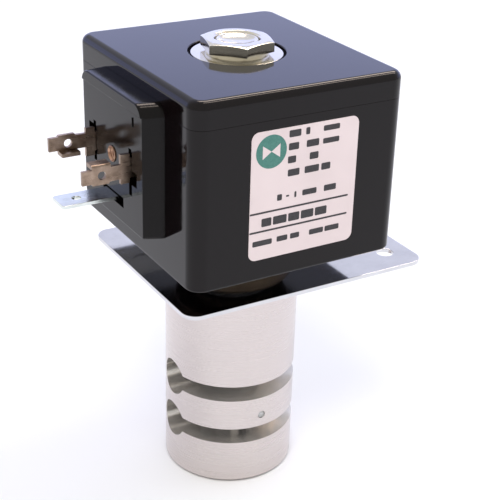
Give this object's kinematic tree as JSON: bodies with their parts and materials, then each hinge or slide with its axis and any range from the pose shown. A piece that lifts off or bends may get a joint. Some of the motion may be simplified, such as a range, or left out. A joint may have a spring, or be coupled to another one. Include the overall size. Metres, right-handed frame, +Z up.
{
  "type": "solenoid pinch valve",
  "caption": "Solenoid pinch valve: boxy encapsulated coil with a blade connector, flat mounting plate and a slotted round body for soft tubes.",
  "frame": {"origin": "centre of the valve body's flat bottom face", "axes": "+Z up along the body and plunger axis, -Y the label side of the coil, -X the connector side; the tube channels run along X"},
  "size_m": [0.0827, 0.0574, 0.1085],
  "materials": {
    "body_aluminium": "satin turned",
    "inner_steel": "ground",
    "plate_steel": "polished",
    "stem_bronze": "dull bronzed",
    "gasket_rubber": "matt",
    "coil_resin": "glossy moulded",
    "yoke_steel": "rolled strip",
    "bobbin_nylon": "moulded",
    "winding_copper": "enamelled wire",
    "connector_plastic": "glossy moulded",
    "insert_brass": "turned",
    "blade_bronze": "tinned, tarnished",
    "earth_tin": "tinned",
    "label_paper": "printed film",
    "nut_zinc": "bright zinc plated"
  },
  "bodies": {
    "valve": {"valve_body": "body_aluminium", "guide_pin": "inner_steel", "mounting_plate": "plate_steel", "stem_base": "stem_bronze", "coil_gasket": "gasket_rubber", "guide_tube": "inner_steel", "fixed_core": "nut_zinc", "coil_washer": "nut_zinc", "coil_nut": "nut_zinc", "return_spring": "inner_steel"},
    "plunger": {"armature": "inner_steel", "carriage_cross_pin": "inner_steel", "pinch_carriage": "inner_steel"},
    "coil": {"coil_housing": "coil_resin", "coil_cap": "coil_resin", "yoke_plate": "yoke_steel", "yoke_frame": "yoke_steel", "bobbin": "bobbin_nylon", "winding": "winding_copper", "lead_wire_rear": "winding_copper", "lead_wire_front": "winding_copper", "connector_base": "connector_plastic", "connector_insert": "insert_brass", "power_blade_rear": "blade_bronze", "power_blade_front": "blade_bronze", "earth_blade": "earth_tin", "label": "label_paper"}
  },
  "joints": [
    {"name": "plunger_lift", "type": "slide", "parent": "valve", "child": "plunger", "axis": [0, 0, 1], "range_m": [0, 0.0064], "stiffness_N_per_m": 1500, "springref_m": -0.004, "deforming": ["return_spring"]},
    {"name": "coil_swivel", "type": "hinge", "parent": "valve", "child": "coil", "pos_m": [0, 0, 0.085], "axis": [0, 0, 1], "continuous": true}
  ]
}
